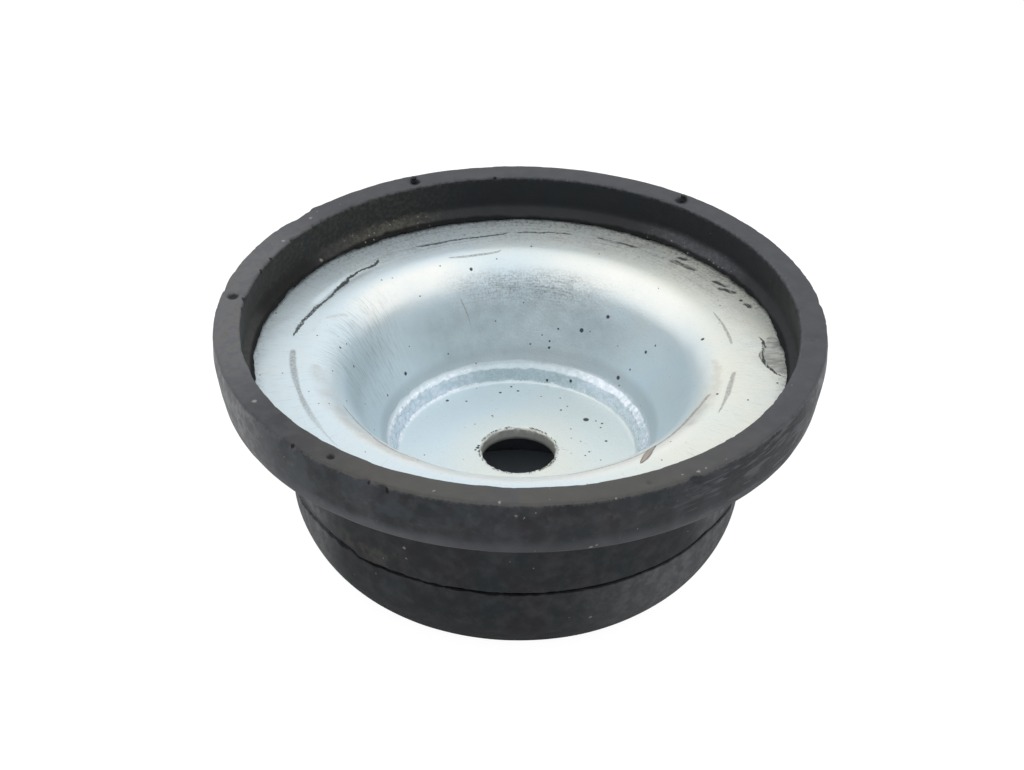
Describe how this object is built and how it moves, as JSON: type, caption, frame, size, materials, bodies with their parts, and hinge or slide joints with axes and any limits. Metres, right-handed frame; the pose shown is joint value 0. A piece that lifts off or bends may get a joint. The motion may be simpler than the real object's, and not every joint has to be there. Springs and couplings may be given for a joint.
{
  "type": "shock absorber mount",
  "caption": "Round strut top mount: a wide-rimmed rubber moulding bonded round a dished, zinc-plated steel plate with a central bore for the damper rod.",
  "frame": {"origin": "centre of the flat rubber face under the mount, on the rod axis", "axes": "+Z along the rod axis, from the rubber foot up to the open rim"},
  "size_m": [0.1156, 0.1154, 0.0489],
  "materials": {
    "rubber": "matt moulded rubber with dust and scuffs",
    "plated_steel": "pale bluish zinc plating, satin, with scratches and dirt"
  },
  "bodies": {
    "root": {"rubber_body": "rubber", "dished_plate": "plated_steel"}
  },
  "joints": []
}
